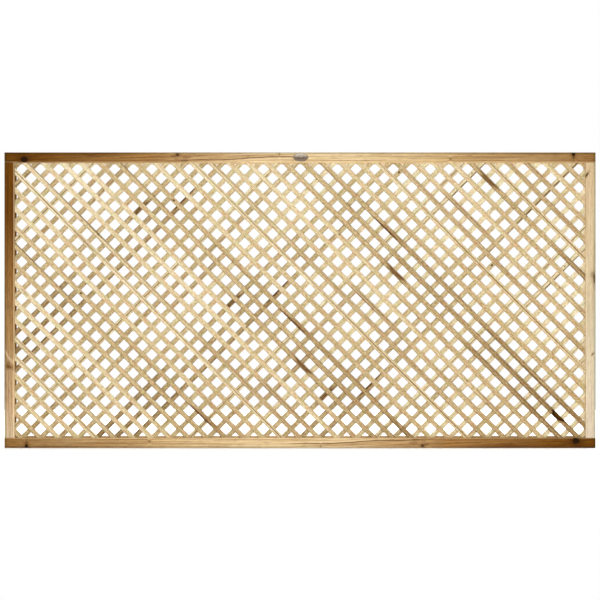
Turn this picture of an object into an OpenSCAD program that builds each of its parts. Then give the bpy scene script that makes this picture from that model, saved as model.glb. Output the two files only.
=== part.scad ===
// Framed diamond-lattice trellis panel.
// X runs along the panel, Y from its front (negative) to its back, Z up from the underside of the bottom rail.

/* [Panel] */
// Overall width of the panel
panel_w = 1800; // [900:10:2400]
// Overall height of the panel
panel_h = 900; // [450:10:1800]

/* [Frame timber] */
// Width of a frame member, seen from the back
frame_w = 36; // [30:1:60]
// Depth of a frame member from front to back
frame_d = 36; // [32:1:60]
// Width of the ledge that the rebate leaves behind the lattice
rebate_w = 5; // [4:0.5:10]
// How far the lattice lies behind the front of the frame
lattice_setback = 2; // [0:0.5:5]
// Chamfer along the inner front edge of the frame
frame_chamfer = 3; // [1:0.5:5]
// Radius of the eased edges of the frame
frame_edge_r = 2; // [1:0.5:4]

/* [Lattice] */
// Width of a slat
slat_w = 15; // [10:0.5:24]
// Thickness of a slat
slat_t = 6; // [4:0.5:8]
// Distance between the centre lines of neighbouring slats
slat_pitch = 40; // [28:1:80]
// Chamfer along the edges of a slat
slat_ease = 0.8; // [0.2:0.1:1.5]
// Gap between the end of a slat and the wall of the rebate
slat_end_gap = 0.5; // [0.2:0.1:1.5]
// How far the lattice lies to the right of the panel's middle
lattice_right = 1.2; // [-10:0.1:10]
// How far the lattice lies above the panel's middle
lattice_up = 3.7; // [-10:0.1:10]

/* [Corner screws] */
// Diameter of a screw's shank
screw_d = 4.5; // [3.5:0.5:6]
// Diameter of a screw's countersunk head
screw_head_d = 9; // [7:0.5:11]
// Length of a screw
screw_len = 70; // [60:5:120]
// How far a screw's head is sunk below the outside of the rail
screw_sink = 0.5; // [0.2:0.1:1.5]
// Length of a screw's pointed end
screw_point = 6; // [4:0.5:10]
// Width of the cross slot in a screw's head
screw_slot_w = 1.1; // [0.8:0.1:1.6]
// Length of the cross slot in a screw's head
screw_slot_len = 4.6; // [3:0.1:6]
// Depth of the cross slot in a screw's head
screw_slot_deep = 1.6; // [1:0.1:2]
// Clearance all round a screw
screw_clear = 0.1; // [0.05:0.05:0.3]

/* [Plate] */
// Length of the oval plate
plate_w = 46; // [30:1:60]
// Thickness of the plate
plate_t = 0.8; // [0.5:0.1:2]
// Width of the raised rim of the plate
plate_rim_w = 1.6; // [1:0.1:3]
// Height of the raised rim of the plate
plate_rim_h = 0.5; // [0.2:0.1:1]
// Bare timber above and below the plate
plate_margin = 0.25; // [0:0.05:2]
// How far the plate lies to the right of the panel's middle
plate_right = 2.3; // [-10:0.1:10]

/* [Plate pins] */
// Diameter of a pin's shank
pin_d = 1.4; // [1:0.1:2]
// Length of a pin under its head
pin_len = 14; // [10:1:20]
// Diameter of a pin's round head
pin_head_d = 3; // [2.4:0.1:4]
// Height of a pin's round head
pin_head_h = 0.9; // [0.6:0.1:1.2]
// Length of a pin's pointed end
pin_point = 2.5; // [1.5:0.1:4]
// Distance from a pin to the end of the plate
pin_inset = 5; // [4:0.5:8]
// Clearance all round a pin
pin_clear = 0.05; // [0.02:0.01:0.1]

/* [Hidden] */
$fn = 48;

// How far a cut runs past the surface that it opens
overrun = 1;

// The frame: its front and back planes, the face left in front of the rebate, and the rebate's floor
front_y = -frame_d / 2;
back_y = frame_d / 2;
face_w = frame_w - rebate_w;
rebate_d = lattice_setback + 2 * slat_t;
ledge_y = front_y + rebate_d;

// The stiles: their front part fills the rails' rebates, and their back part stops at the rails' ledges
stile_front_len = panel_h - 2 * face_w;

// The block that the slats are cut to
lattice_w = panel_w - 2 * face_w - 2 * slat_end_gap;
lattice_h = panel_h - 2 * face_w - 2 * slat_end_gap;

// The two layers of slats lean opposite ways, and each is placed by its distance from the panel's middle
front_angle = -45;
back_angle = 45;
front_slat_y = front_y + lattice_setback;
back_slat_y = front_slat_y + slat_t;
bar_len = panel_w + panel_h;

// How far from the panel's middle a slat's centre line still crosses the opening
function lattice_reach(angle) =
    (panel_w / 2 - face_w) * abs(cos(angle)) + (panel_h / 2 - face_w) * abs(sin(angle));

// Where the layer's centre lies, measured square to its slats
function layer_shift(angle) = lattice_right * cos(angle) - lattice_up * sin(angle);

// The distances of a layer's slats from the panel's middle, half a pitch either side of the layer's centre
function slat_places(angle) =
    let (reach = lattice_reach(angle), shift = layer_shift(angle))
    let (first = ceil((-reach - shift) / slat_pitch - 1 / 2))
    let (last = floor((reach - shift) / slat_pitch - 1 / 2))
    [for (n = [first : last]) shift + slat_pitch * (n + 1 / 2)];

front_places = slat_places(front_angle);
back_places = slat_places(back_angle);

// Neighbouring slats are gathered into this many groups in each layer, or fewer if there are fewer slats
most_groups = 23;
front_groups = min(most_groups, len(front_places));
back_groups = min(most_groups, len(back_places));

function group_name(layer, g) = str(layer, "_slats_", g < 9 ? "0" : "", g + 1);

// The places of the slats in one of a layer's groups, counted from 0
function group_places(places, g, groups) =
    let (first = floor(g * len(places) / groups))
    let (last = floor((g + 1) * len(places) / groups) - 1)
    [for (n = [first : last]) places[n]];

// The corner screws stand in the middle of the stile's face, one in its front part and one in its back part
screw_x = panel_w / 2 - face_w / 2;
screw_ys = [(front_y + ledge_y) / 2, (ledge_y + back_y) / 2];
screw_head_h = (screw_head_d - screw_d) / 2;

// The plate covers the flat of the top rail's face, between its chamfer and its eased edge
plate_h = face_w - frame_chamfer - frame_edge_r - 2 * plate_margin;
plate_z = panel_h - frame_edge_r - plate_margin - plate_h / 2;
plate_corners = 48;
pin_x = plate_w / 2 - pin_inset;

// What a rounding of this radius takes off a corner at the origin, with the timber towards +X and +Y
module arris_waste(radius) {
    difference() {
        translate([-overrun, -overrun]) square(radius + overrun);
        translate([radius, radius]) circle(radius);
    }
}

// Section of a frame member: X is its depth, front first, and Y its width, from the outside inwards
module member_section() {
    difference() {
        translate([front_y, 0]) square([frame_d, frame_w]);
        translate([front_y - overrun, face_w]) square([rebate_d + overrun, rebate_w + overrun]);
        translate([front_y, 0]) arris_waste(frame_edge_r);
        translate([back_y, 0]) mirror([1, 0]) arris_waste(frame_edge_r);
        translate([back_y, frame_w]) mirror([1, 0]) mirror([0, 1]) arris_waste(frame_edge_r);
        polygon([
            [front_y - overrun, face_w - frame_chamfer - overrun],
            [front_y - overrun, face_w + overrun],
            [front_y + frame_chamfer + overrun, face_w + overrun]
        ]);
    }
}

// A screw standing head up with the top of its head at the origin, grown all round by some clearance
module screw_body(clear) {
    rotate_extrude() polygon([
        [0, -screw_len - clear],
        [screw_d / 2 + clear, -screw_len + screw_point - clear],
        [screw_d / 2 + clear, -screw_head_h - clear],
        [screw_head_d / 2 + clear, -clear],
        [screw_head_d / 2 + clear, clear],
        [0, clear]
    ]);
}

// Puts its children at the screws of the top rail, head up, with the origin at the top of the head
module at_top_screws() {
    for (side = [-1, 1], y = screw_ys)
        translate([side * screw_x, y, panel_h - screw_sink]) children();
}

// The same at the screws of the bottom rail, head down
module at_bottom_screws() {
    for (side = [-1, 1], y = screw_ys)
        translate([side * screw_x, y, screw_sink]) mirror([0, 0, 1]) children();
}

// The hole that a screw goes into, with the recess over its head
module screw_hole() {
    screw_body(screw_clear);
    cylinder(h = screw_sink + overrun, d = screw_head_d + 2 * screw_clear);
}

// One cross-slotted countersunk screw
module screw() {
    difference() {
        screw_body(0);
        for (turn = [0, 90])
            rotate(turn)
                translate([-screw_slot_len / 2, -screw_slot_w / 2, -screw_slot_deep])
                    cube([screw_slot_len, screw_slot_w, screw_slot_deep + overrun]);
    }
}

// Rail lying along X with its outer edge down
module plain_rail() {
    translate([-panel_w / 2, 0, 0]) rotate([90, 0, 90]) linear_extrude(panel_w) member_section();
}

module bottom_rail() {
    color("tan") difference() {
        plain_rail();
        at_bottom_screws() screw_hole();
    }
}

module top_rail() {
    color("tan") difference() {
        translate([0, 0, panel_h]) mirror([0, 0, 1]) plain_rail();
        at_top_screws() screw_hole();
        at_pins() pin_body(pin_clear);
    }
}

// Stile of the left side: its back part is cut short at both ends, to stand on the ledges of the rails
module plain_stile() {
    difference() {
        translate([-panel_w / 2, 0, face_w])
            mirror([1, -1, 0]) linear_extrude(stile_front_len) member_section();
        for (z = [face_w - overrun, panel_h - frame_w])
            translate([-panel_w / 2 - overrun, ledge_y, z])
                cube([frame_w + 2 * overrun, frame_d, rebate_w + overrun]);
        at_bottom_screws() screw_hole();
        at_top_screws() screw_hole();
    }
}

module left_stile() {
    color("peru") plain_stile();
}

module right_stile() {
    color("wheat") mirror([1, 0, 0]) plain_stile();
}

// Section of a slat: X across it and Y through its thickness
module slat_section() {
    polygon([
        [-slat_w / 2 + slat_ease, 0],
        [slat_w / 2 - slat_ease, 0],
        [slat_w / 2, slat_ease],
        [slat_w / 2, slat_t - slat_ease],
        [slat_w / 2 - slat_ease, slat_t],
        [-slat_w / 2 + slat_ease, slat_t],
        [-slat_w / 2, slat_t - slat_ease],
        [-slat_w / 2, slat_ease]
    ]);
}

// One slat: a leaning bar cut to the rectangle inside the rebate
module slat(place, angle, y) {
    translate([0, y, panel_h / 2]) intersection() {
        rotate([0, angle, 0]) translate([place, 0, 0])
            linear_extrude(bar_len, center = true) slat_section();
        translate([-lattice_w / 2, -overrun, -lattice_h / 2])
            cube([lattice_w, slat_t + 2 * overrun, lattice_h]);
    }
}

module back_slats(g) {
    color("burlywood") for (place = group_places(back_places, g, back_groups))
        slat(place, back_angle, back_slat_y);
}

module front_slats(g) {
    color("navajowhite") for (place = group_places(front_places, g, front_groups))
        slat(place, front_angle, front_slat_y);
}

module corner_screws() {
    color("silver") {
        at_top_screws() screw();
        at_bottom_screws() screw();
    }
}

// Oval outline of the plate, drawn in by some distance
module plate_oval(inset) {
    polygon([
        for (n = [0 : plate_corners - 1])
            let (turn = 360 * n / plate_corners)
            [(plate_w / 2 - inset) * cos(turn), (plate_h / 2 - inset) * sin(turn)]
    ]);
}

// Turns its children so that their Z points out of the top rail's face, with the origin on that face
module on_top_rail_face() {
    translate([plate_right, front_y, plate_z]) rotate([90, 0, 0]) children();
}

// Puts its children at the plate's pins, with the origin under the pin's head
module at_pins() {
    on_top_rail_face() for (side = [-1, 1]) translate([side * pin_x, 0, plate_t]) children();
}

// A pin's shank and point, grown all round by some clearance
module pin_body(clear) {
    rotate_extrude() polygon([
        [0, -pin_len - clear],
        [pin_d / 2 + clear, -pin_len + pin_point - clear],
        [pin_d / 2 + clear, 0],
        [0, 0]
    ]);
}

// A pin's low round head: the cap of a ball
module pin_head() {
    ball_r = (pow(pin_head_d / 2, 2) + pow(pin_head_h, 2)) / (2 * pin_head_h);
    rotate_extrude() intersection() {
        translate([0, pin_head_h - ball_r]) circle(ball_r);
        square([pin_head_d, pin_head_h]);
    }
}

module plate() {
    color("silver") difference() {
        on_top_rail_face() difference() {
            linear_extrude(plate_t + plate_rim_h) plate_oval(0);
            translate([0, 0, plate_t]) linear_extrude(plate_rim_h + overrun) plate_oval(plate_rim_w);
        }
        at_pins() translate([0, 0, -plate_t - overrun])
            cylinder(h = plate_t + 2 * overrun, d = pin_d + 2 * pin_clear);
    }
}

module plate_pins() {
    color("gray") at_pins() {
        pin_body(0);
        pin_head();
    }
}

bottom_rail();
top_rail();
left_stile();
right_stile();
for (g = [0 : back_groups - 1])
    back_slats(g);
for (g = [0 : front_groups - 1])
    front_slats(g);
corner_screws();
plate();
plate_pins();
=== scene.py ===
import math

import bpy
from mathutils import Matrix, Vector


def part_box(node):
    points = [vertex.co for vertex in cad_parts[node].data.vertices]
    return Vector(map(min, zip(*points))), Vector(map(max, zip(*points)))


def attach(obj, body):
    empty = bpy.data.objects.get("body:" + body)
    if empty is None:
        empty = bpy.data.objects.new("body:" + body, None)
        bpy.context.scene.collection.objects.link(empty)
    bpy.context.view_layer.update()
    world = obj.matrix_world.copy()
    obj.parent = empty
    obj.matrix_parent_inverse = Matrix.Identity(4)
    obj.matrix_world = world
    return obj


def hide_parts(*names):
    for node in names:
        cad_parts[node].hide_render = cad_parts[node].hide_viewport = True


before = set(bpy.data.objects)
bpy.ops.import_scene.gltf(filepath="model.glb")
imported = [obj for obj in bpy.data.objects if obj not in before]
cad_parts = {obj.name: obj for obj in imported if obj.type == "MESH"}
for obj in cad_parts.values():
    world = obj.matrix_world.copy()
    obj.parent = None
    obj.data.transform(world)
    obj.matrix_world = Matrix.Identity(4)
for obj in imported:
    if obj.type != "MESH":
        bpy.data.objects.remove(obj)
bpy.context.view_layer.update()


# Bottom rail: a planed softwood batten, 36 mm square, running the full width of the panel.
# Its inner front edge is rebated for the lattice and lightly chamfered. The wood is stained
# brown towards one end and left pale in the middle.

class Shade:
    """One output of a material's nodes, which Python's arithmetic can work on."""

    def __init__(self, tree, socket):
        self.tree = tree
        self.socket = socket

    def node(self, kind, settings, sockets, output=0):
        """Adds a node of this kind and gives back its output, or several where output lists them."""
        added = self.tree.nodes.new("ShaderNode" + kind)
        for name, value in settings.items():
            if name == "stops":
                elements = added.color_ramp.elements
                while len(elements) < len(value):
                    elements.new(1.0)
                for element, (position, colour) in zip(elements, value):
                    element.position = position
                    element.color = colour
            else:
                setattr(added, name, value)
        for name, value in sockets.items():
            if isinstance(value, Shade):
                self.tree.links.new(value.socket, added.inputs[name])
            else:
                added.inputs[name].default_value = value
        if isinstance(output, tuple):
            return [Shade(self.tree, added.outputs[one]) for one in output]
        return Shade(self.tree, added.outputs[output])

    def math(self, operation, *values):
        return self.node("Math", {"operation": operation}, dict(enumerate(values)))

    def feed(self, socket):
        self.tree.links.new(self.socket, socket)

    def __add__(self, other):
        return self.math("ADD", self, other)

    def __radd__(self, other):
        return self.math("ADD", other, self)

    def __sub__(self, other):
        return self.math("SUBTRACT", self, other)

    def __rsub__(self, other):
        return self.math("SUBTRACT", other, self)

    def __mul__(self, other):
        return self.math("MULTIPLY", self, other)

    def __rmul__(self, other):
        return self.math("MULTIPLY", other, self)

    def __truediv__(self, other):
        return self.math("DIVIDE", self, other)

    def __rtruediv__(self, other):
        return self.math("DIVIDE", other, self)

    def __pow__(self, other):
        return self.math("POWER", self, other)

    def __mod__(self, other):
        return self.math("FLOORED_MODULO", self, other)

    def __abs__(self):
        return self.math("ABSOLUTE", self)


def hue(red, green, blue):
    """A display colour, 0 to 255, as the linear colour that a shader takes."""
    parts = [value / 255 for value in (red, green, blue)]
    linear = [((part + 0.055) / 1.055) ** 2.4 if part > 0.04 else part / 12.92 for part in parts]
    return (*linear, 1.0)


def new_finish(name):
    """A material, its shader, and the place on the piece as Object coordinates."""
    material = bpy.data.materials.new(name)
    material.use_nodes = True
    tree = material.node_tree
    shader = tree.nodes["Principled BSDF"]
    place = Shade(tree, tree.nodes.new("ShaderNodeTexCoord").outputs["Object"])
    return material, shader, place


def millimetres(place, shift, turn):
    """The place in millimetres, moved by shift, with turn giving each axis its sign."""
    scale = tuple(1000.0 * sign for sign in turn)
    moved = place.node("Mapping", {}, {"Vector": place, "Location": shift, "Scale": scale})
    return moved.node("SeparateXYZ", {}, {"Vector": moved}, (0, 1, 2))


def rise(value, low, high):
    """0 at low and 1 at high, with an S-shaped rise between; low may be the larger."""
    limits = {0: value, 1: low, 2: high, 3: 0.0, 4: 1.0}
    return value.node("MapRange", {"interpolation_type": "SMOOTHSTEP"}, limits)


def mixed(amount, under, over, blend="MIX"):
    """Colour over laid on colour under by this amount."""
    colours = {0: amount, 6: under, 7: over}
    return amount.node("Mix", {"data_type": "RGBA", "blend_type": blend}, colours, 2)


def fibres(along, across, depth, length, width, seed, detail=2.0):
    """Noise about a half, drawn out along the timber: streaks of this length and width in mm."""
    parts = {0: along / length + seed, 1: across / width, 2: depth / width}
    drawn_out = along.node("CombineXYZ", {}, parts)
    noise = {"Vector": drawn_out, "Scale": 1.0, "Detail": detail, "Roughness": 0.55}
    return drawn_out.node("TexNoise", {}, noise)


def growth_rings(along, across, depth, pith_across, pith_depth, ring, sway, seed):
    """Dark late wood, 0 to 1, of timber whose pith lies at pith_across and pith_depth, in mm."""
    drift = (fibres(along, across, depth, 320.0, 60.0, seed, 1.0) - 0.5) * sway
    side = across - pith_across + drift
    deep = depth - pith_depth
    radius = (side * side + deep * deep) ** 0.5
    turn = radius / ring + fibres(along, across, depth, 700.0, 14.0, seed + 5.3, 1.0) * 1.6
    part = turn.math("FRACT", turn)
    greys = [(0.0, 0.2), (0.45, 0.05), (0.84, 0.85), (0.93, 1.0), (1.0, 0.2)]
    stops = [(at, (grey, grey, grey, 1.0)) for at, grey in greys]
    return part.node("ValToRGB", {"stops": stops}, {"Fac": part})


def knot_distance(along, across, at, size, seed, slant=0.0):
    """How far a place is from a knot's middle, as a multiple of its half size. slant lays it askew."""
    ragged = fibres(along, across, across, 6.0, 3.0, seed, 2.0) - 0.5
    far_along = (along - (across - at[1]) * slant - at[0]) / size[0]
    far_across = (across - at[1]) / size[1]
    return (far_along * far_along + far_across * far_across) ** 0.5 + ragged * 0.5


def dress_timber(shader, colour, rings, fuzz):
    """Feeds a timber's colour, and the roughness and relief of its rings and raised fibres."""
    colour.feed(shader.inputs["Base Color"])
    (0.6 + 0.2 * fuzz + 0.08 * rings).feed(shader.inputs["Roughness"])
    height = 0.7 * fuzz - 0.4 * rings
    relief = height.node("Bump", {}, {"Strength": 0.35, "Distance": 0.0002, "Height": height})
    relief.feed(shader.inputs["Normal"])
    shader.inputs["Specular IOR Level"].default_value = 0.04


def frame_timber(name, shift, turn, order, look, seed):
    """A frame member's wood. order picks the axes along it, in from its edge and back from its face."""
    material, shader, place = new_finish(name)
    placed = millimetres(place, shift, turn)
    along, across, depth = [placed[axis] for axis in order]
    run = along - look["lean_turn"]
    lean_ease = 120.0
    pushed = across + 0.5 * look["lean"] * (run - (run * run + lean_ease ** 2) ** 0.5)
    knot_flow = 1.7
    for at, size, _, slant in look["knots"]:
        near = knot_distance(along, across, at, (size[0] * knot_flow, size[1] * knot_flow), seed, slant)
        pushed = pushed + rise(near, 2.4, 0.4) * (across - at[1]) * 0.8
    pith_across, pith_depth, ring = look["pith"]
    rings = growth_rings(along, pushed, depth, pith_across, pith_depth, ring, 7.0, seed)
    streaks = fibres(along, pushed, depth, 170.0, 3.6, seed + 11.0, 3.0)
    bands = fibres(along, pushed, depth, 380.0, 9.0, seed + 17.0, 2.0)
    flecks = fibres(along, pushed, depth, 24.0, 3.4, seed + 19.0, 2.0)
    fuzz = fibres(along, across, depth, 30.0, 0.7, seed + 23.0, 2.0)
    tone = along.node("MapRange", {}, {0: along, 1: look["from"], 2: look["to"], 3: 0.0, 4: 1.0})
    colour = tone.node("ValToRGB", {"stops": look["tones"]}, {"Fac": tone})
    figure = look["figure"]
    colour = mixed(rings * 0.45 * figure, colour, hue(190, 164, 132), "MULTIPLY")
    colour = mixed(rise(bands, 0.54, 0.3) * 0.6 * figure, colour, hue(186, 160, 126), "MULTIPLY")
    colour = mixed(rise(streaks, 0.5, 0.26) * 0.55 * figure, colour, hue(178, 150, 112), "MULTIPLY")
    colour = mixed(rise(streaks, 0.52, 0.72) * 0.35, colour, hue(255, 232, 186), "SOFT_LIGHT")
    colour = mixed(rise(flecks, 0.5, 0.24) * 0.55 * figure, colour, hue(190, 164, 128), "MULTIPLY")
    colour = mixed(rise(flecks, 0.52, 0.74) * 0.35, colour, hue(255, 236, 200), "SOFT_LIGHT")
    colour = mixed(rise(fuzz, 0.5, 0.25) * 0.3, colour, hue(200, 185, 165), "MULTIPLY")
    # Painted highlight: light is added on the inner chamfer, partly as pale wear, so it reads lighter
    # than the face.
    arris_foot = (3.4, 4.2)
    arris = rise(across, look["arris"], look["arris"] + 1.2) * rise(depth, arris_foot[1], arris_foot[0])
    colour = mixed(arris, colour, hue(*look["arris_sheen_and_wear"]), "ADD")
    for first, last, low, climb, strength in look["cracks"]:
        reach = rise(along, first - 25.0, first + 25.0) * rise(along, last + 40.0, last - 40.0)
        course = low + climb * rise(along, -70.0, -250.0)
        line = rise(abs(across - course + (bands - 0.5) * 2.0), 1.6, 0.6)
        colour = mixed(reach * line * strength, colour, hue(92, 58, 20))
    behind = rise(depth, 5.0, 15.0) * 3.0
    for at, size, dark, slant in look["knots"]:
        near = knot_distance(along, across, at, size, seed + 2.0, slant) + behind
        halo = rise(near, 2.8, 0.9) * (0.5 + 0.15 * near.math("SINE", near * 10.0))
        colour = mixed(halo * dark, colour, hue(178, 146, 110), "MULTIPLY")
        colour = mixed(rise(near, 1.15, 0.7) * dark, colour, hue(*look["knot_heart"]))
    for at, size, light, slant in look["pale_patches"]:
        near = knot_distance(along, across, at, size, seed + 4.0, slant) + behind
        colour = mixed(rise(near, 1.3, 0.5) * light, colour, hue(228, 204, 164))
    # Painted shade: the face darkens towards its outer edge, and a cool band along the outer arris and
    # near the rail ends is painted shade with some grime.
    shade = rise(across, 14.0, 1.0) * (0.25 + 0.75 * rise(depth, 9.0, 1.0))
    colour = mixed(shade * look["outer_shade"], colour, hue(206, 208, 202), "MULTIPLY")
    outer = rise(across, 4.6, 1.0) * (0.15 + 0.85 * rise(depth, 4.0, 0.6)) * look["outer_dirt_and_shade"]
    # The rebate's ledge and wall take each member's own paint: painted shadow where it is dark, painted
    # light where it is pale.
    rebate = rise(across, rebate_wall - 0.6, rebate_wall - 0.1) * rise(depth, *arris_foot)
    rebate = rebate * rise(depth, ledge_depth + 2.0, ledge_depth + 1.0)
    if "ends" in look:
        to_end = look["ends"] - abs(along)
        outer = outer.math("MAXIMUM", outer, rise(to_end, 11.0, 3.0) * 0.65)
        rebate = rebate * rise(to_end, 0.5, 1.5)
        sawn_end = rise(to_end, 0.6, 0.2)
        colour = mixed(sawn_end * (0.1 + 0.75 * rings), colour, hue(128, 88, 48), "MULTIPLY")
    colour = mixed(outer, colour, hue(192, 210, 220), "MULTIPLY")
    colour = mixed(rebate * look["rebate_cover"], colour, hue(*look["rebate"]))
    dress_timber(shader, colour, rings, fuzz)
    return material


def paint_node(name, material):
    """Gives a piece of the frame its finish."""
    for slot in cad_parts[name].material_slots:
        slot.material = material


panel_half_width = 900.0
panel_height = 900.0
member_width = 36.0
half_depth = 18.0
rebate_wall = 31.0
ledge_depth = 14.0

# Knots and pale patches: place along and across, half sizes, strength, slant.
# Cracks: start and end along the rail, place across it, climb, strength.
rail_look = {
    "from": -panel_half_width,
    "to": panel_half_width,
    "tones": [
        (0.0, hue(104, 64, 10)),
        (0.07, hue(119, 78, 26)),
        (0.25, hue(170, 129, 77)),
        (0.36, hue(216, 185, 139)),
        (0.42, hue(234, 207, 163)),
        (0.6, hue(241, 216, 171)),
        (0.77, hue(217, 187, 138)),
        (1.0, hue(147, 108, 58)),
    ],
    "figure": 1.0,
    "lean_turn": -20.0,
    "lean": 0.042,
    "pith": (-66.0, 84.0, 5.2),
    "knots": [
        ((-840.0, 21.5), (12.0, 10.5), 1.0, 0.0),
        ((833.0, 5.0), (5.5, 7.5), 0.95, 0.0),
        ((833.0, 15.0), (2.6, 7.0), 0.4, 0.0),
        ((-373.0, 7.0), (6.0, 5.0), 0.7, 0.0),
        ((-386.0, 12.0), (9.0, 3.0), 0.35, 0.0),
        ((-352.0, 25.0), (12.0, 4.0), 0.3, 0.0),
        ((458.0, 20.0), (3.0, 3.4), 0.45, 0.0),
        ((-63.0, 5.0), (2.0, 4.0), 0.4, 0.0),
    ],
    "knot_heart": (40, 20, 4),
    "pale_patches": [],
    "cracks": [
        (-330.0, 20.0, 13.0, 9.5, 0.95),
        (-620.0, -340.0, 11.0, 14.0, 0.3),
        (10.0, 420.0, 11.5, 0.0, 0.22),
    ],
    # The outer edges' darkening below is painted shade with some grime, and the chamfer's added light
    # is a painted highlight with pale wear.
    "outer_shade": 0.25,
    "arris": 27.4,
    "arris_sheen_and_wear": (124, 112, 90),
    "ends": panel_half_width,
}


def rail_timber(name, foot, turn, own_look):
    """The rails are one board: the bottom rail is the top rail's pattern turned end for end."""
    look = dict(rail_look, **own_look)
    # The tones are scaled as painted light: the bottom rail is lightened where it catches less lamp
    # light than the top rail.
    look["tones"] = [
        (at, (*(look["painted_light_gain"] * part for part in tone[:3]), 1.0)) for at, tone in rail_look["tones"]
    ]
    return frame_timber(name, (0.0, half_depth, foot), turn, (0, 2, 1), look, 3.1)


# The bottom rail's tones are scaled up as painted light, and its rebate is painted darker as painted
# shadow.
bottom_look = {"outer_dirt_and_shade": 0.4, "rebate": (168, 136, 92), "rebate_cover": 0.75, "painted_light_gain": 1.07}
paint_node("bottom_rail", rail_timber("rail_timber_bottom", 0.0, (-1, 1, 1), bottom_look))


# Stiles: the two upright battens between the rails, of the same square section and rebate.
# Their shoulders fit over the rails' ledges and are held by screws through the rails. The left
# one is stained dark at its top, the right one is cream sapwood.

# The left stile's rebate is painted dark brown as painted shadow and the right stile's pale as painted
# light; each chamfer gets a painted highlight and the outer edges painted shade.
left_look = {
    "from": member_width,
    "to": panel_height - member_width,
    "tones": [
        (0.0, hue(229, 207, 174)),
        (0.12, hue(214, 184, 146)),
        (0.35, hue(172, 137, 92)),
        (0.58, hue(147, 107, 58)),
        (0.8, hue(118, 76, 22)),
        (1.0, hue(112, 70, 12)),
    ],
    "figure": 1.0,
    "lean_turn": 600.0,
    "lean": 0.012,
    "pith": (-50.0, 60.0, 5.6),
    "knots": [((247.0, 14.0), (5.0, 9.0), 0.75, -0.25), ((258.0, 12.0), (8.0, 6.0), 0.35, 0.0)],
    "knot_heart": (112, 72, 20),
    "pale_patches": [((283.0, 8.5), (7.0, 6.0), 0.6, -2.0), ((267.0, 20.0), (8.0, 8.0), 0.45, -0.8)],
    "cracks": [],
    "outer_shade": 0.5,
    "outer_dirt_and_shade": 0.7,
    "arris": 26.2,
    "arris_sheen_and_wear": (144, 130, 102),
    "rebate": (102, 68, 26),
    "rebate_cover": 0.85,
}
right_look = {
    "from": member_width,
    "to": panel_height - member_width,
    "tones": [
        (0.0, hue(229, 214, 191)),
        (0.45, hue(217, 201, 168)),
        (0.72, hue(222, 201, 165)),
        (1.0, hue(216, 192, 153)),
    ],
    "figure": 0.6,
    "lean_turn": 500.0,
    "lean": -0.01,
    "pith": (95.0, 40.0, 4.6),
    "knots": [
        ((831.0, 27.0), (4.4, 5.4), 1.0, -1.28),
        ((527.0, 9.0), (10.0, 7.0), 0.35, 0.0),
        ((515.0, 3.6), (16.0, 3.6), 0.7, 0.0),
        ((286.0, 8.8), (3.0, 3.8), 0.75, -0.8),
    ],
    "knot_heart": (84, 60, 26),
    "pale_patches": [],
    "cracks": [],
    "outer_shade": 0.5,
    "outer_dirt_and_shade": 0.8,
    "arris": 25.8,
    "arris_sheen_and_wear": (84, 78, 66),
    "rebate": (222, 198, 156),
    "rebate_cover": 0.85,
}

for stile, turn, look, seed in (
    ("left_stile", (1, 1, 1), left_look, 17.4),
    ("right_stile", (-1, 1, 1), right_look, 29.8),
):
    outer_corner = (panel_half_width, half_depth, 0.0)
    paint_node(stile, frame_timber(stile + "_timber", outer_corner, turn, (2, 0, 1), look, seed))


# Back slats: thin sawn softwood laths, 15 by 6 mm, running up to the right on the frame's ledge.
# Ten laths of differing tone are laid side by side and come round again, and near the right end
# four are skipped. Some carry dark heartwood, a pith line or a knot.

slat_pitch = 40.0
laths_in_turn = 10
turn_broken_at = 17
laths_skipped = 4.0
lattice_middle = (1.2, 453.7)

# Each lath's tone, how dark its edges are painted (painted shade with some dirt), and how much it
# darkens along its run.
lath_stock = [
    (0.54, 0.1, 0.06), (0.36, 0.1, 0.03), (0.5, 0.15, 0.16), (0.47, 0.15, 0.13), (0.4, 0.1, 0.1),
    (0.45, 0.1, 0.16), (0.65, 0.7, 0.0), (0.71, 0.8, 0.0), (0.67, 0.7, 0.0), (0.47, 0.15, 0.26),
]
lath_tones = [
    (0.0, (250, 238, 204)), (0.35, (228, 208, 167)), (0.65, (205, 180, 134)), (1.0, (159, 130, 82)),
]

# Pith lines: lath, start and end along it, place across it, strength.
lath_lines = [
    (1, -690.0, -540.0, -1.0, 0.8),
    (1, -540.0, 0.0, 2.0, 0.6),
    (1, -20.0, 300.0, 1.0, 0.8),
    (1, 300.0, 700.0, 0.3, 0.9),
    (1, 700.0, 1200.0, -0.3, 0.5),
    (2, -1200.0, -540.0, 5.4, 1.0),
    (2, -600.0, -70.0, 4.2, 0.6),
    (2, -600.0, -70.0, -4.8, 0.3),
    (2, -70.0, 250.0, 3.2, 0.3),
    (3, 85.0, 200.0, -5.0, 0.35),
    (3, 105.0, 230.0, 0.6, 0.3),
    (3, 120.0, 250.0, 4.0, 0.35),
    (6, 480.0, 1200.0, 4.0, 0.6),
    (6, 480.0, 1200.0, -4.8, 0.3),
    (7, -640.0, -480.0, 5.8, 0.5),
    (7, 480.0, 760.0, -4.6, 0.35),
    (7, 500.0, 790.0, 1.6, 0.35),
    (8, -260.0, -90.0, -4.2, 0.3),
    (8, 450.0, 1200.0, -3.4, 0.55),
]
front_lines = [(1, -1200.0, -690.0, 1.2, 1.0), (7, -1200.0, -640.0, 6.4, 0.95)]
back_lines = [
    (1, -1200.0, -690.0, -1.4, 1.0),
    (7, -1200.0, -640.0, 3.0, 0.85),
    (7, -1200.0, -640.0, 4.8, 0.95),
    (8, 70.0, 420.0, 4.2, 0.35),
]

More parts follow.
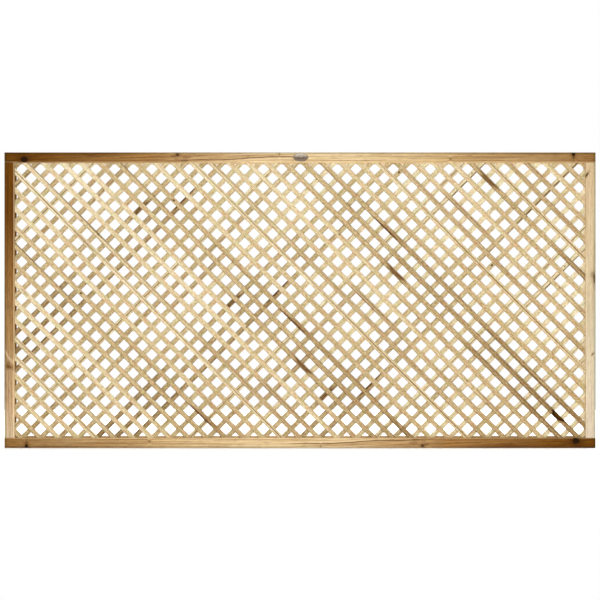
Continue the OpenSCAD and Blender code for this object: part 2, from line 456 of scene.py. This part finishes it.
# Heartwood streaks and dark specks: lath, place and half length along it, place and half width
# across it, strength.
lath_streaks = [
    (1, -585.0, 50.0, 0.0, 6.0, 0.4),
    (2, 230.0, 330.0, 0.0, 9.0, 0.3),
    (2, 720.0, 130.0, 0.0, 9.0, 0.3),
    (3, 190.0, 110.0, -1.0, 7.0, 0.45),
    (3, 520.0, 280.0, 0.0, 9.0, 0.15),
    (4, 720.0, 130.0, 0.0, 9.0, 0.45),
    (5, 480.0, 280.0, -4.0, 6.0, 0.2),
    (6, 150.0, 30.0, 0.0, 5.0, 0.75),
    (6, 140.0, 56.0, 4.2, 3.4, 0.5),
    (6, 720.0, 280.0, 0.0, 9.0, 0.35),
    (7, 230.0, 130.0, 0.0, 9.0, 0.25),
    (7, 760.0, 260.0, 0.0, 9.0, 0.4),
    (8, 230.0, 170.0, 4.4, 2.6, 0.2),
    (8, 34.0, 46.0, -4.6, 3.4, 0.95),
    (8, 24.0, 50.0, -5.6, 1.8, 0.6),
    (8, 62.0, 48.0, 0.0, 6.0, 0.65),
    (8, 230.0, 110.0, 0.0, 8.0, 0.3),
    (8, 740.0, 330.0, 0.0, 9.0, 0.35),
    (9, 150.0, 220.0, -2.0, 8.0, 0.25),
]
lath_specks = [
    (8, -485.0, 4.6, -0.3, 3.2, 0.9),
    (5, -55.0, 3.4, 3.4, 3.4, 0.65),
    (5, -608.0, 18.0, 1.0, 4.0, 0.3),
    (4, 535.0, 3.4, 2.0, 3.0, 0.45),
    (4, 630.0, 4.0, -2.0, 2.6, 0.4),
    (2, -640.0, 4.0, -1.0, 2.6, 0.6),
    (2, -618.0, 3.0, 0.0, 2.4, 0.5),
    (2, -574.0, 4.0, 3.0, 2.6, 0.55),
]

# Bell-shaped knots: lath, place and half length along it, steepness, top and foot across it, lean,
# strength.
lath_knots = [
    (6, 150.0, 28.0, 2.4, -5.6, 5.4, 0.0, 0.25),
    (7, 809.0, 19.5, 3.4, -8.0, 6.8, -0.6, 1.0),
]


def slat_timber(name, front):
    """The laths' wood. front lays the pattern down to the right, and otherwise it is mirrored."""
    material, shader, place = new_finish(name)
    layer_face = 16.0 if front else 10.0
    x, depth, z = millimetres(place, (-lattice_middle[0], layer_face, -lattice_middle[1]), (1, 1, 1))
    half_root = math.sqrt(0.5)
    if front:
        across, along = (x + z) * half_root, (x - z) * half_root
    else:
        across, along = (x - z) * half_root, (x + z) * -half_root
    place_in_row = across / slat_pitch
    number = place_in_row.math("FLOOR", place_in_row)
    begun_again = number.math("GREATER_THAN", number, turn_broken_at - 0.5)
    lath = (number + begun_again * laths_skipped) % float(laths_in_turn)
    side = across - (number + 0.5) * slat_pitch
    chance = lath.node("TexWhiteNoise", {"noise_dimensions": "1D"}, {"W": lath + 0.37}, 1)
    chance = chance.node("SeparateXYZ", {}, {"Vector": chance}, (0, 1, 2))
    own = number.node("TexWhiteNoise", {"noise_dimensions": "1D"}, {"W": number + 0.61}, 0)
    stock_length = 2750.0
    own_length = 1170.0
    shifted = along + lath * stock_length
    own_run = along + number * own_length
    stock = [(which / (laths_in_turn - 1), (*one, 1.0)) for which, one in enumerate(lath_stock)]
    in_turn = lath / (laths_in_turn - 1.0)
    own_stock = in_turn.node("ValToRGB", {"stops": stock}, {"Fac": in_turn})
    level, edge_shade_and_dirt, darkening = own_stock.node("SeparateColor", {}, {0: own_stock}, (0, 1, 2))

    pith_across = (chance[0] - 0.5) * 64.0
    pith_depth = 12.0 + chance[1] * 44.0
    rings = growth_rings(shifted, side, depth, pith_across, pith_depth, 4.4, 8.0, 41.0)
    streaks = fibres(shifted, side, depth, 240.0, 2.2, 47.0, 3.0)
    clouds = fibres(shifted, side, depth, 110.0, 20.0, 53.0, 3.0)
    mottle = fibres(own_run, side, depth, 9.0, 3.6, 57.0, 2.0)
    blush = fibres(own_run, side, depth, 30.0, 14.0, 67.0, 1.0)
    fuzz = fibres(shifted, side, depth, 26.0, 0.6, 59.0, 2.0)
    fade_length = 5600.0
    darkening_length = 1800.0
    tone = along / fade_length + (streaks - 0.5) * 0.8 + (clouds - 0.5) * 0.6 + (mottle - 0.5) * 1.4
    tone = tone + (own - 0.5) * 0.06 + level + along / darkening_length * darkening
    cast = (0, 0, 0) if front else (-3, 2, 4)
    tones = [(at, hue(*(part + more for part, more in zip(shade, cast)))) for at, shade in lath_tones]
    colour = tone.node("ValToRGB", {"stops": tones}, {"Fac": tone})
    colour = mixed(rise(blush, 0.5, 0.7) * 0.5, colour, hue(255, 228, 216), "MULTIPLY")
    colour = mixed(rise(blush, 0.5, 0.3) * 0.5, colour, hue(236, 246, 218), "MULTIPLY")
    colour = mixed(rings * 0.4, colour, hue(206, 186, 160), "MULTIPLY")
    colour = mixed(rise(fuzz, 0.5, 0.25) * 0.25, colour, hue(205, 190, 170), "MULTIPLY")
    wobble = (clouds - 0.5) * 3.0
    line_taper = 25.0
    own_lines = front_lines if front else back_lines
    for which, first, last, off, strength in lath_lines + own_lines:
        middle = which * stock_length + (first + last) / 2
        half_run = (last - first) / 2
        reach = rise(abs(shifted - middle), half_run + line_taper, half_run - line_taper)
        breadth = rise(abs(side - off + wobble), 1.8, 0.7)
        line = reach * breadth * (0.65 + 0.35 * rise(streaks, 0.35, 0.55))
        colour = mixed(line * strength, colour, hue(90, 56, 14))
    for which, at, half_length, off, half_width, strength in lath_streaks:
        reach = rise(abs(shifted - (which * stock_length + at)), half_length * 1.3, half_length * 0.6)
        breadth = rise(abs(side - off), half_width * 1.25, half_width * 0.7)
        streak = reach * breadth * (0.45 + 0.55 * rise(streaks, 0.4, 0.58))
        colour = mixed(streak * strength, colour, hue(158, 112, 50), "MULTIPLY")
    for which, at, half_length, off, half_width, strength in lath_specks:
        speck = (which * stock_length + at, off)
        near = knot_distance(shifted, side, speck, (half_length, half_width), 61.0)
        colour = mixed(rise(near, 1.25, 0.65) * strength, colour, hue(70, 44, 10))
    for which, at, half_length, steep, top, foot, lean, strength in lath_knots:
        run = abs(shifted + (side - foot) * lean - (which * stock_length + at)) / half_length
        bell = foot - (foot - top) / (1.0 + run ** steep)
        inside = side - bell + (mottle - 0.5) * 3.0
        body = rise(inside, -0.8, 0.8) * rise(side, foot + 1.2, foot - 0.6) * rise(run, 1.7, 1.0)
        skin = body * rise(inside, 11.0, 3.0)
        halo = rise(inside, -7.0, -0.5) * rise(run, 2.8, 1.2)
        colour = mixed(halo * 0.5 * strength, colour, hue(190, 152, 96), "MULTIPLY")
        colour = mixed(body * strength, colour, hue(86, 52, 8))
        colour = mixed(skin * strength, colour, hue(44, 25, 3))
    # The laths' long edges are darkened as painted shade with some dirt.
    edge = rise(abs(side), 5.4, 7.0) * edge_shade_and_dirt * rise(along, -700.0, 100.0)
    colour = mixed(edge, colour, hue(168, 150, 118), "MULTIPLY")
    dress_timber(shader, colour, rings, fuzz)
    return material


back_finish = slat_timber("back_slat_timber_finish", False)
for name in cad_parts:
    if name.startswith("back_slats"):
        paint_node(name, back_finish)


# Front slats: laths of the same stock laid over the back ones, running down to the right.
# They lie in the same rebate and are stapled to the back slats at every crossing.

front_finish = slat_timber("front_slat_timber_finish", True)
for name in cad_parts:
    if name.startswith("front_slats"):
        paint_node(name, front_finish)


# Top rail: the bottom rail's fellow from the same board, turned end for end.
# It closes the frame over the slat ends and carries the small plate in its middle.

# The top rail's rebate is painted pale as painted light against the shade in the recess, like fresh-cut
# wood.
top_look = {"outer_dirt_and_shade": 0.7, "rebate": (232, 206, 160), "rebate_cover": 0.85, "painted_light_gain": 1.0}
paint_node("top_rail", rail_timber("rail_timber_top", panel_height, (1, 1, -1), top_look))


# Corner screws: countersunk steel screws, zinc plated, driven through the rail ends into the
# stiles' end grain, with their heads just below the wood.

def metal(name, shade, rough, brushed):
    """A metal with fine scratches along one axis and dull patches."""
    material, shader, place = new_finish(name)
    x, y, z = millimetres(place, (0.0, 0.0, 0.0), (1, 1, 1))
    lines = fibres(x, y, z, brushed[0], brushed[1], 71.0, 3.0)
    dull = fibres(x, y, z, 6.0, 6.0, 83.0, 2.0)
    colour = mixed(rise(dull, 0.4, 0.7) * 0.4, hue(*shade), hue(*(0.84 * part for part in shade)))
    colour.feed(shader.inputs["Base Color"])
    (rough + 0.2 * (lines - 0.5) + 0.12 * dull).feed(shader.inputs["Roughness"])
    relief = lines.node("Bump", {}, {"Strength": 0.2, "Distance": 0.00005, "Height": lines})
    relief.feed(shader.inputs["Normal"])
    shader.inputs["Metallic"].default_value = 1.0
    return material


paint_node("corner_screws", metal("zinc_screw", (118, 119, 120), 0.55, (4.0, 0.3)))


# Plate: a small bare oval of pressed grey metal with a raised rim, in the middle of the top rail.
# Its field is slightly domed, and its colour is painted lighter at the top and darker towards its lower
# edge as a painted reflection, mottled like tarnish. Two round-head pins hold it.

plate_low, plate_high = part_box("plate")
plate_half = tuple((high - low) / 2 for low, high in zip(plate_low, plate_high))
plate_middle = tuple((high + low) / 2 for low, high in zip(plate_low, plate_high))
bpy.ops.object.select_all(action="DESELECT")
bpy.ops.mesh.primitive_circle_add(
    vertices=72, radius=plate_half[0], fill_type="NGON", rotation=(math.radians(90), 0, 0),
    location=(plate_middle[0], plate_high[1], plate_middle[2]),
)
plate = bpy.context.object
plate.name = "domed_plate"
plate.scale = (1.0, plate_half[2] / plate_half[0], 1.0)
bpy.ops.object.transform_apply(location=True, rotation=True, scale=True)
bpy.ops.object.mode_set(mode="EDIT")
bpy.ops.mesh.select_mode(type="FACE")
bpy.ops.mesh.select_all(action="SELECT")
bpy.ops.mesh.extrude_region_move(TRANSFORM_OT_translate={"value": (0, plate_low[1] - plate_high[1], 0)})
for rim_step, lift in ((0.0003, 0.0), (0.0009, 0.0), (0.0004, 0.00045)):
    bpy.ops.mesh.inset(thickness=rim_step)
    bpy.ops.transform.translate(value=(0, lift, 0))
for shrink, lift in ((0.86, -0.0001), (0.8, -0.0001), (0.7, -0.0001), (0.5, -0.00005)):
    bpy.ops.mesh.inset(thickness=0.0001)
    bpy.ops.transform.resize(value=(shrink, 1.0, shrink), center_override=plate_middle)
    bpy.ops.transform.translate(value=(0, lift, 0))
bpy.ops.object.mode_set(mode="OBJECT")
softened = plate.modifiers.new("softened", "BEVEL")
softened.width = 0.00015
softened.segments = 2
softened.limit_method = "ANGLE"
bpy.ops.object.modifier_apply(modifier=softened.name)
bpy.ops.object.shade_smooth_by_angle(angle=math.radians(35))
plate_finish, plate_shader, plate_place = new_finish("plate_metal_painted_reflection")
to_middle = tuple(-1000.0 * part for part in plate_middle)
plate_x, plate_y, plate_z = millimetres(plate_place, to_middle, (1, 1, 1))
plate_patches = fibres(plate_x, plate_y, plate_z, 5.0, 3.5, 91.0, 3.0)
# Painted reflection: the field is lighter at the top and darker below, with a darker band, mottled like
# tarnish.
plate_reflection_height = (plate_patches - 0.5) * 9.0 - plate_z
plate_colour = mixed(rise(plate_reflection_height, -11.0, 2.0), hue(136, 127, 115), hue(88, 77, 66))
plate_dark_reflection_band = rise(abs(plate_reflection_height - 2.4), 5.5, 1.0) * rise(abs(plate_x), 20.0, 9.0)
plate_colour = mixed(plate_dark_reflection_band * 0.7, plate_colour, hue(56, 46, 38))
rim_across = plate_x / (1000.0 * plate_half[0])
rim_up = plate_z / (1000.0 * plate_half[2])
plate_rim = rise(rim_across * rim_across + rim_up * rim_up, 0.8, 0.9)
plate_colour = mixed(plate_rim * 0.3, plate_colour, hue(120, 110, 98))
plate_colour.feed(plate_shader.inputs["Base Color"])
(0.42 + 0.25 * plate_patches).feed(plate_shader.inputs["Roughness"])
plate_bump = {"Strength": 0.25, "Distance": 0.0001, "Height": plate_patches}
plate_relief = plate_patches.node("Bump", {}, plate_bump)
plate_relief.feed(plate_shader.inputs["Normal"])
plate_shader.inputs["Metallic"].default_value = 1.0
plate.data.materials.append(plate_finish)
bpy.ops.object.origin_set(type="ORIGIN_CURSOR")
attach(plate, "root")
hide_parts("plate")
paint_node("plate_pins", metal("pin_steel", (96, 90, 82), 0.4, (2.0, 0.4)))


# Staples: a thin wire staple at every crossing, driven from behind through both slats.
# Only the crown shows, lying level across the back slat with its shoulders bent into the wood.

crossing_step = slat_pitch / math.sqrt(2) / 1000
staple_crown = 0.0106
staple_wire = 0.0012
staple_stand = 0.0005
leg_lean = 0.0001
leg_depth = 0.0012
back_slat_face = -0.004
staples = []
for columns, rows, first_column, first_row in ((31, 14, -30, -13), (30, 15, -29, -14)):
    bpy.ops.object.select_all(action="DESELECT")
    middle = (
        lattice_middle[0] / 1000 + first_column * crossing_step,
        back_slat_face + staple_stand / 2,
        lattice_middle[1] / 1000 + first_row * crossing_step,
    )
    bpy.ops.mesh.primitive_cube_add(
        size=1, location=middle, scale=(staple_crown - 2 * staple_wire, staple_stand, staple_wire),
    )
    staple = bpy.context.object
    bpy.ops.object.transform_apply(location=True, rotation=True, scale=True)
    for end in (-1, 1):
        bpy.ops.object.mode_set(mode="OBJECT")
        for face in staple.data.polygons:
            face.select = face.normal.x * end > 0.9
        bpy.ops.object.mode_set(mode="EDIT")
        bpy.ops.mesh.select_mode(type="FACE")
        for move in ((end * staple_wire, 0, 0), (end * leg_lean, -leg_depth, 0)):
            bpy.ops.mesh.extrude_region_move(TRANSFORM_OT_translate={"value": move})
    bpy.ops.object.mode_set(mode="OBJECT")
    for count, offset in ((columns, (2 * crossing_step, 0, 0)), (rows, (0, 0, 2 * crossing_step))):
        array = staple.modifiers.new("row", "ARRAY")
        array.count = count
        array.use_relative_offset = False
        array.use_constant_offset = True
        array.constant_offset_displace = offset
        bpy.ops.object.modifier_apply(modifier=array.name)
    staples.append(staple)
bpy.ops.object.select_all(action="DESELECT")
for staple in staples:
    staple.select_set(True)
bpy.context.view_layer.objects.active = staples[0]
bpy.ops.object.join()
crossing_staples = bpy.context.object
crossing_staples.name = "crossing_staples"
crossing_staples.data.materials.append(metal("staple_wire_steel", (168, 168, 166), 0.38, (3.0, 0.3)))
bpy.ops.object.origin_set(type="ORIGIN_CURSOR")
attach(crossing_staples, "root")


# Floor and light: a plain white floor that runs out into a white surround, as in a small studio.
# One lamp stands in front, a little to the right, with weaker ones above, behind and at both sides.
# The camera looks straight on at the panel from far away, as the photo does.

floor_size = 14.0
floor_level = -0.0005
bpy.ops.object.select_all(action="DESELECT")
bpy.ops.mesh.primitive_plane_add(size=floor_size, location=(0, 0, floor_level))
floor = bpy.context.object
floor.name = "studio_floor"
bpy.ops.object.transform_apply(location=True, rotation=True, scale=True)
floor_finish, floor_shader, floor_place = new_finish("floor_white")
floor_mottle = floor_place.node("TexNoise", {}, {"Vector": floor_place, "Scale": 3.0, "Detail": 1.0})
floor_colour = mixed(floor_mottle, (0.9, 0.9, 0.9, 1.0), (0.93, 0.93, 0.93, 1.0))
floor_colour.feed(floor_shader.inputs["Base Color"])
floor_shader.inputs["Roughness"].default_value = 0.9


def seen_directly(shade):
    """1 for what the camera sees, also in a mirror or through glass, and 0 for light on the object."""
    camera_ray, glossy, through = shade.node(
        "LightPath", {}, {}, ("Is Camera Ray", "Is Glossy Ray", "Is Transmission Ray"))
    return camera_ray.math("MAXIMUM", camera_ray, glossy.math("MAXIMUM", glossy, through))


floor_reach = floor_place.node("VectorMath", {"operation": "LENGTH"}, {0: floor_place}, "Value")
floor_glow = mixed(rise(floor_reach, 1.2, 3.5), (0.3, 0.3, 0.3, 1.0), (1.0, 1.0, 1.0, 1.0))
floor_glow = mixed(seen_directly(floor_place), (0.0, 0.0, 0.0, 1.0), floor_glow)
floor_glow.feed(floor_shader.inputs["Emission Color"])
floor_shader.inputs["Emission Strength"].default_value = 1.0
floor.data.materials.append(floor_finish)

studio = bpy.data.worlds.new("studio")
bpy.context.scene.world = studio
studio.use_nodes = True
sky = studio.node_tree.nodes["Background"]
sky_light = 0.1
sky_shade = Shade(studio.node_tree, sky.outputs["Background"])
(sky_light + (1.0 - sky_light) * seen_directly(sky_shade)).feed(sky.inputs["Strength"])
sky.inputs["Color"].default_value = (1.0, 1.0, 1.0, 1.0)

for lamp_name, lamp_place, lamp_size, lamp_watts, lamp_turn in (
    ("front_lamp", (0.9, -9.0, 1.2), 2.0, 566.0, (85.2, 0.0, 5.7)),
    ("top_lamp", (0.2, 0.7, 4.6), 3.0, 80.0, (0.0, 0.0, 0.0)),
    ("back_lamp", (1.6, 5.0, 4.6), 3.0, 280.0, (52.0, 0.0, 162.3)),
    ("left_lamp", (-6.0, 1.2, 2.2), 3.0, 130.0, (74.0, 0.0, 258.7)),
    ("right_lamp", (6.0, 1.2, 2.2), 3.0, 130.0, (74.0, 0.0, 101.3)),
):
    bpy.ops.object.light_add(type="AREA", location=lamp_place)
    lamp = bpy.context.object
    lamp.name = lamp_name
    lamp.data.shape = "DISK"
    lamp.data.size = lamp_size
    lamp.data.energy = lamp_watts
    lamp.rotation_euler = tuple(math.radians(angle) for angle in lamp_turn)

view_width = 1.827
view_distance = 20.0
view_height = 0.4506
panel_face = -0.018
bpy.ops.object.camera_add(
    location=(0.0, panel_face - view_distance, view_height), rotation=(math.radians(90), 0, 0),
)
camera = bpy.context.object
camera.name = "photo_camera"
camera.data.sensor_width = 36.0
camera.data.lens = camera.data.sensor_width * view_distance / view_width
camera.data.clip_end = 200.0
bpy.context.scene.camera = camera
bpy.context.scene.view_settings.view_transform = "Standard"
